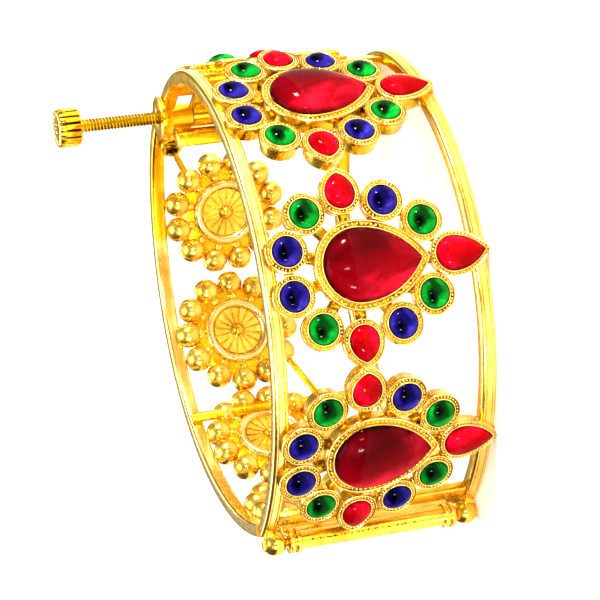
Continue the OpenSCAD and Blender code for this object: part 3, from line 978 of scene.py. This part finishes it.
class BANGLE_OT_settings(bpy.types.Operator):
    """Builds one medallion's bezel, collets and webs, and copies it to the three places"""

    bl_idname = "bangle.settings"
    bl_label = "Medallion settings"

    def execute(self, context):
        small = collet("small_collet", COLLET_R, COLLET_R, CUP_FOOT, 40, wall=0.96)
        drop = collet("drop_collet", COLLET_R, 2.87, CUP_FOOT, 48, wall=0.93)
        side = collet("side_collet", 2.37, 4.77, CUP_FOOT, 56, wall=0.8)
        big = bezel("big_bezel")
        pieces = [
            copied(big, bent(0, RUBY_W) @ turn(180)),
            copied(side, bent(0, SIDE_PEAR_W) @ turn(180)),
            web(0.0, SIDE_PEAR_W),
        ]
        for way in (-1, 1):
            pieces.append(copied(drop, bent(way * DROP_S, DROP_W) @ turn(-90 * way)))
            pieces.append(web(way * DROP_S, DROP_W))
            for i, (_, s, w) in enumerate(SIDE_GEMS):
                pieces.append(copied(small, bent(way * s, w) @ turn(37 * i + 11 * way)))
                pieces.append(web(way * s, w))
        low_green, low_blue, high_green, high_blue = [(s, w) for _, s, w in SIDE_GEMS]
        across = (-high_blue[0], high_blue[1])
        ring = [(0.0, SIDE_PEAR_W + 0.6), low_green, low_blue, (DROP_S, DROP_W)]
        ring += [high_green, high_blue, across]
        for a, b in zip(ring, ring[1:]):
            pieces.append(solder(a, b))
            if b != across:
                pieces.append(solder((-a[0], a[1]), (-b[0], b[1])))
        whole = joined(pieces, "setting")
        for name, angle in MEDALLION_ANGLE.items():
            piece = copied(whole, medallion_place(angle), f"setting_{name}")
            stand_on_floor(piece)
            finish_piece(piece, "front_half", "setting_gold", f"medallion_{name}")
        scrap(whole, small, drop, side, big)
        return {"FINISHED"}


class BANGLE_OT_half_medallion(bpy.types.Operator):
    """Builds the short run of collets that the closure end cuts off"""

    bl_idname = "bangle.half_medallion"
    bl_label = "Half medallion"

    def execute(self, context):
        base = softened("half_medallion", "closure_setting", 0.08)
        deepen(base, evenly(0.15))
        low = collet("low_collet", COLLET_R, COLLET_R, SHORT_FOOT, 40)
        low_drop = collet("low_drop_collet", COLLET_R, 2.87, SHORT_FOOT, 48)
        blank = stone("blank", 2.06, 2.06, -0.5, 0.02, 0.55, 32, 5)
        blank.data.attributes.remove(blank.data.attributes["face"])
        deepen(blank, evenly(0.35))
        pieces = [
            base,
            copied(low_drop, nose_place(*END_DROP) @ turn(90)),
            copied(low, nose_place(*END_GREEN)),
        ]
        for place in END_BLANKS:
            pieces += [copied(low, nose_place(*place)), copied(blank, nose_place(*place))]
        whole = joined(pieces, "closure_setting")
        finish_piece(whole, "front_half", "setting_gold", "half_medallion")
        scrap(low, low_drop, blank)
        return {"FINISHED"}


def set_stone(source, place, name, kind, node):
    piece = copied(source, place, name)
    finish_piece(piece, "front_half", f"{kind}_stone", node)


class BANGLE_OT_stones(bpy.types.Operator):
    """Cuts the domed stones and sets them in their collets"""

    bl_idname = "bangle.stones"
    bl_label = "Stones"

    def execute(self, context):
        r, dome = sizes().gem_radius / MM, sizes().gem_dome / MM
        gem = stone("gem", r, r, GEM_LOW, GEM_EDGE, dome, 32)
        drop = stone("drop", r, 2.9, GEM_LOW, GEM_EDGE, dome, 40)
        pear = stone("pear", 2.4, 4.8, GEM_LOW, GEM_EDGE, 1.45, 48)
        ruby = stone("ruby", 5.12, 9.15, -0.55, 0.62, sizes().ruby_dome / MM, 64, 14)
        rings = {}
        for kind in ("green", "blue"):
            four = [
                copied(gem, bent(way * s, w) @ turn(-8 * way))
                for way in (-1, 1)
                for found, s, w in SIDE_GEMS
                if found == kind
            ]
            rings[kind] = joined(four, f"{kind}_ring")
        for name, angle in MEDALLION_ANGLE.items():
            at = medallion_place(angle)
            for kind, ring in rings.items():
                set_stone(ring, at, f"{kind}_stones_{name}", kind, f"{kind}s_{name}")
            place = at @ bent(0, RUBY_W) @ turn(180)
            set_stone(ruby, place, f"pear_ruby_{name}", "ruby", f"large_ruby_{name}")
            place = at @ bent(0, SIDE_PEAR_W) @ turn(180)
            set_stone(pear, place, f"small_pear_{name}", "red", f"side_ruby_{name}")
            for end, way in (("low", -1), ("high", 1)):
                place = at @ bent(way * DROP_S, DROP_W) @ turn(-90 * way)
                piece, node = f"drop_stone_{name}_{end}", f"red_drop_{name}_{end}"
                set_stone(drop, place, piece, "red", node)
        place = nose_place(*END_DROP) @ turn(90)
        set_stone(drop, place, "drop_stone_half", "red", "red_drop_half")
        set_stone(gem, nose_place(*END_GREEN), "green_stone_half", "green", "green_half")
        scrap(gem, drop, pear, ruby, *rings.values())
        return {"FINISHED"}


# Half of the disc's section, from the middle to the rim
DISC_LINE = [
    (0.0, 0.42), (0.22, 0.46), (0.5, 0.7), (0.8, 0.68), (1.02, 0.52), (1.2, 0.4),
    (3.1, 0.34), (3.72, 0.38), (3.86, 0.62), (4.02, 0.88), (4.25, 1.04), (4.52, 1.1),
    (4.8, 1.04), (5.02, 0.88), (5.16, 0.62), (5.22, 0.4), (5.8, 0.36), (7.0, 0.34),
    (7.25, 0.2), (7.3, 0.0),
]


def flower_disc():
    """The middle disc: broad rounded rim, a sunk field with raised rays and a centre ball."""
    rays = sizes().rays
    far_side = [(r, -z) for r, z in reversed(DISC_LINE[:-1])]
    disc = lathe("disc", DISC_LINE + far_side, rays * 6)
    choose(disc)
    bpy.ops.object.mode_set(mode="EDIT")

    def on_ray(face):
        p = face.calc_center_median() / MM
        part = math.degrees(math.atan2(p.y, p.x)) % 360 * rays / 360
        far = math.hypot(p.x, p.y)
        return 1.25 < far < 3.68 and 0.34 < part % 1 < 0.99 and abs(p.z) > 0.2

    pick(disc, "faces", on_ray)
    out = {"value": RAY_OUT * MM}
    bpy.ops.mesh.extrude_region_shrink_fatten(TRANSFORM_OT_shrink_fatten=out)
    select_all()
    bpy.ops.mesh.normals_make_consistent(inside=False)
    done()

    def depth(p):
        far = math.hypot(p.x, p.y)
        # Painted shade in the sunk field, the centre's dimple and past the rim; pale worn gold
        # and painted highlight on the rays and centre ball, palest on the rim.
        if far < 0.3 or 1.1 < far < 3.8 and abs(p.z) < 0.43:
            return 0.4
        return 0.2 if far > 5.18 else -0.3 if far < 3.8 else -1.0

    deepen(disc, depth)
    return disc


class BANGLE_OT_flowers(bpy.types.Operator):
    """Builds one flower of twelve balls round a rayed disc, and copies it to the four places"""

    bl_idname = "bangle.flowers"
    bl_label = "Flowers"

    def execute(self, context):
        ball = start("uv_sphere", "ball", segments=28, ring_count=16, radius=1.99 * MM)
        done()
        # Pale worn gold and painted highlight on the balls and beads.
        deepen(ball, evenly(-0.35))
        bead = start("uv_sphere", "bead", segments=20, ring_count=12, radius=0.95 * MM)
        bpy.ops.transform.resize(value=(1, 1, 0.85))
        done()
        deepen(bead, evenly(-0.2))
        pieces = [flower_disc()]
        for i in range(BALLS):
            way = turn(360 / BALLS * (i + 0.5))
            pieces.append(copied(ball, way @ move(BALL_RING, 0, 0)))
            pieces.append(copied(bead, way @ move(BEAD_RING, 0, 0) @ Matrix.Scale(0.95, 4)))
        for z in (-0.72, 0.72):
            pieces.append(copied(bead, move(0, 0, z)))
        whole = joined(pieces, "flower")
        for name, where in FLOWERS.items():
            piece = copied(whole, flower_place(*where), f"ball_flower_{name}")
            finish_piece(piece, "back_half", "flower_gold", f"flower_{name}")
        scrap(whole, ball, bead)
        return {"FINISHED"}


class BANGLE_OT_hinge(bpy.types.Operator):
    """Rounds the barrel with its worn line, the pin and the plate beside the hinge"""

    bl_idname = "bangle.hinge"
    bl_label = "Hinge"

    def execute(self, context):
        axis = (HINGE_X + SEAT[0], SEAT[1])

        def worn_line(p):
            around = math.degrees(math.atan2(p.y - axis[1], p.x - axis[0]))
            # Off the dark line the barrel is pale worn gold and painted highlight.
            return 3.5 if abs(around - WORN_ANGLE) < 4 else -0.3

        # Painted highlight: the side plate is pale worn gold all over.
        bright = evenly(-0.2)
        dressed("back_hinge_bar", "barrel_hinge", "back_half", "plate_gold", worn_line, 0.12)
        dressed("hinge_pin", "pin_caps", "back_half", "ball_gold", evenly(0.0), 0.06)
        dressed("front_hinge_plate", "hinge_side_plate", "front_half", "plate_gold", bright)
        return {"FINISHED"}


def latch_hole(p):
    """Painted shadow: black inside the square hole of the latch cup."""
    x, y, z = (back_place(*LATCH).inverted() @ (p * MM)) / MM
    return 3.0 if abs(y) < 0.98 and abs(z) < 0.98 and x > 33.3 else 0.0


class BANGLE_OT_closure(bpy.types.Operator):
    """Rounds the plates, ears, cup and bars of the closure end"""

    bl_idname = "bangle.closure"
    bl_label = "Closure and bars"

    def execute(self, context):
        clean = evenly(0.0)
        dressed("front_closure_plate", "curved_closure_plate", "front_half", "plate_gold", clean)
        dressed("back_closure_bar", "ear_bar", "back_half", "plate_gold", clean)
        dressed("back_crossbar", "round_crossbar", "back_half", "ball_gold", clean)
        dressed("latch_cup", "square_latch_cup", "back_half", "ball_gold", latch_hole)
        dressed("back_side_strut", "side_strut", "back_half", "ball_gold", clean)
        return {"FINISHED"}


def screw_thread():
    """A threaded rod as long as its turns, with its lower end at 0."""
    core, pitch = THREAD_CORE, THREAD_PITCH
    flank = ((core, 0), (core + 0.13, 0.18), (core + 0.16, 0.25), (core + 0.13, 0.32))
    thread = drawn("thread", (*flank, (core, pitch)))
    done()
    wind = thread.modifiers.new("wind", "SCREW")
    wind.angle = TURN
    wind.screw_offset = pitch * MM
    wind.iterations = round(THREAD_LENGTH / pitch)
    wind.steps = 24
    wind.render_steps = 24
    wind.axis = "Z"
    bpy.ops.object.modifier_apply(modifier="wind")
    bpy.ops.object.mode_set(mode="EDIT")
    close_up(thread)
    bpy.ops.mesh.select_mode(type="EDGE")
    bpy.ops.mesh.select_all(action="DESELECT")
    bpy.ops.mesh.select_non_manifold()
    bpy.ops.mesh.fill()
    close_up(thread)
    done()
    # Painted shade at the thread's root.
    deepen(thread, lambda p: 0.7 if math.hypot(p.x, p.y) < core + 0.05 else 0.0)
    return thread


def screw_head():
    """A thick disc with sixteen milled grooves, a rim and a small dish in its top."""
    flutes, per = 16, 10
    count = flutes * per
    head = start("circle", "head", vertices=count, radius=2.9 * MM, fill_type="NGON")
    for depth, places in ((0.9, (5,)), (0.925, (4, 6)), (0.99, (3, 7))):

        def in_groove(v, places=places):
            a = math.atan2(v.co.x, v.co.y) % TURN
            return round(a / TURN * count) % count % per in places

        pick(head, "verts", in_groove)
        scale_across(depth)
    select_all("FACE")
    low, wider = 0.88, 1.07
    scale_across(low)
    for dz, grow in (
        (0.15, wider),
        (0.25, 1 / (low * wider)),
        (2.7, 1.0),
        (0.2, 0.97),
        (0.15, 0.93),
        (0.05, 0.86),
        (-0.06, 0.9),
        (0.0, 0.4),
        (-0.25, 0.9),
    ):
        rise(dz, grow)
    close_up(head)
    done()

    def depth(p):
        # Painted shade: black in the milled grooves; the top is pale worn gold and painted
        # highlight.
        if 0.4 < p.z < 3.15 and math.hypot(p.x, p.y) < 2.7:
            return 4.0
        return -0.6 if p.z > 3.17 else 0.0

    deepen(head, depth)
    return head


class BANGLE_OT_screw(bpy.types.Operator):
    """Winds the screw's thread and mills its head"""

    bl_idname = "bangle.screw"
    bl_label = "Closure screw"

    def execute(self, context):
        thread, head = screw_thread(), screw_head()
        head.data.transform(move(0, 0, THREAD_LENGTH))
        whole = joined([thread, head], "milled_screw")
        whole.data.transform(move(*SEAT) @ move(*LOCK, SCREW_TIP))
        finish_piece(whole, "screw", "screw_gold", "closure_screw")
        return {"FINISHED"}


def pale_floor():
    """A wide, nearly white floor with a faint cloud in its tone."""
    floor = start("plane", "floor", size=6.0)
    bpy.ops.mesh.subdivide(number_cuts=3)
    done()
    material, tree, shader = shader_of("pale_floor")
    cloud = noise(tree, (add(tree, "ShaderNodeTexCoord"), "Object"), 3)
    tone = mixed(tree, cloud, rgba(colours().floor), rgba(colours().floor, 0.985))
    feed(tree, shader, {"Base Color": tone, "Roughness": 0.9, "Specular IOR Level": 0.2})
    floor.data.materials.append(material)


def soft_lamps(collection):
    """Soft lamps aimed at the bangle's middle."""
    for name, at, wide, tall, power, tint in (
        ("key", (0.46, -0.44, 0.13), 0.1, 0.075, 9.5, (1.0, 0.99, 0.97)),
        ("strip", (-0.13, -0.6, 0.16), 0.03, 0.12, 1.4, (1.0, 0.98, 0.95)),
        ("side", (-0.42, -0.35, 0.3), 0.4, 0.4, 0.5, (1.0, 0.97, 0.93)),
        ("glint", (-0.48, -0.39, 0.12), 0.05, 0.11, 3.6, (1.0, 0.99, 0.98)),
        ("back", (0.1, 0.42, 0.4), 0.5, 0.25, 1.8, (1.0, 0.99, 0.98)),
        ("crown", (0.02, -0.05, 0.7), 0.5, 0.5, 3.9, (1.0, 1.0, 1.0)),
    ):
        lamp = bpy.data.lights.new(name, "AREA")
        lamp.shape = "RECTANGLE"
        lamp.size = wide
        lamp.size_y = tall
        lamp.energy = power
        lamp.color = tint
        holder = bpy.data.objects.new(name, lamp)
        aim = Vector((0.0, 0.0, 0.016)) - Vector(at)
        holder.location = at
        holder.rotation_euler = aim.to_track_quat("-Z", "Y").to_euler()
        collection.objects.link(holder)


def pale_room(scene):
    """A pale room: bright overhead, warm and dim low down, with one darker quarter."""
    world = scene.world or bpy.data.worlds.new("room")
    scene.world = world
    world.use_nodes = True
    tree = world.node_tree
    where = (add(tree, "ShaderNodeTexCoord"), "Generated")
    parts = add(tree, "ShaderNodeSeparateXYZ", {0: where})
    high = ranged(tree, (parts, 2), -0.05, 0.7, 0, 1)
    tone = mixed(tree, high, (0.34, 0.25, 0.13, 1), (0.95, 0.95, 0.95, 1))
    quarter = ranged(tree, (parts, 0), -0.75, 0.1, 1, 0)
    dim = mixed(tree, quarter, tone, (0.2, 0.13, 0.06, 1))
    feed(tree, tree.nodes["Background"], {"Color": dim, "Strength": 0.6})


class BANGLE_OT_stage(bpy.types.Operator):
    """Lays the pale floor, and places the soft lights and the camera"""

    bl_idname = "bangle.stage"
    bl_label = "Floor, lights and camera"

    def execute(self, context):
        pale_floor()
        soft_lamps(context.collection)
        pale_room(context.scene)
        lens = bpy.data.cameras.new("camera")
        lens.lens = 136.85
        lens.sensor_width = 36
        lens.clip_start = 0.01
        camera = bpy.data.objects.new("camera", lens)
        camera.location = (-0.097516, -0.301763, 0.119966)
        turned = [math.radians(a) for a in (-22.9056, 70.8302, -131.92)]
        camera.rotation_euler = Euler(turned, "XYZ")
        context.collection.objects.link(camera)
        context.scene.camera = camera
        context.scene.view_settings.view_transform = "Standard"
        return {"FINISHED"}


class BANGLE_PT_panel(bpy.types.Panel):
    """The steps that dress the bangle, in their order"""

    bl_label = "Bangle"
    bl_idname = "BANGLE_PT_panel"
    bl_space_type = "VIEW_3D"
    bl_region_type = "UI"
    bl_category = "Bangle"

    def draw(self, context):
        column = self.layout.column()
        for step in STEPS:
            column.operator(step.bl_idname)
        for settings in (context.scene.bangle_sizes, context.scene.bangle_colours):
            box = self.layout.box()
            for key in settings.__annotations__:
                box.prop(settings, key)


STEPS = (
    BANGLE_OT_rails,
    BANGLE_OT_settings,
    BANGLE_OT_half_medallion,
    BANGLE_OT_stones,
    BANGLE_OT_flowers,
    BANGLE_OT_hinge,
    BANGLE_OT_closure,
    BANGLE_OT_screw,
    BANGLE_OT_stage,
)
CLASSES = (BangleSizes, BangleColours, *STEPS, BANGLE_PT_panel)


def register():
    for made in CLASSES:
        bpy.utils.register_class(made)
    bpy.types.Scene.bangle_sizes = PointerProperty(type=BangleSizes)
    bpy.types.Scene.bangle_colours = PointerProperty(type=BangleColours)


def unregister():
    del bpy.types.Scene.bangle_colours
    del bpy.types.Scene.bangle_sizes
    for made in reversed(CLASSES):
        bpy.utils.unregister_class(made)


def main():
    register()
    for step in STEPS:
        area, name = step.bl_idname.split(".")
        getattr(getattr(bpy.ops, area), name)()
    deselect()


if __name__ == "__main__":
    main()
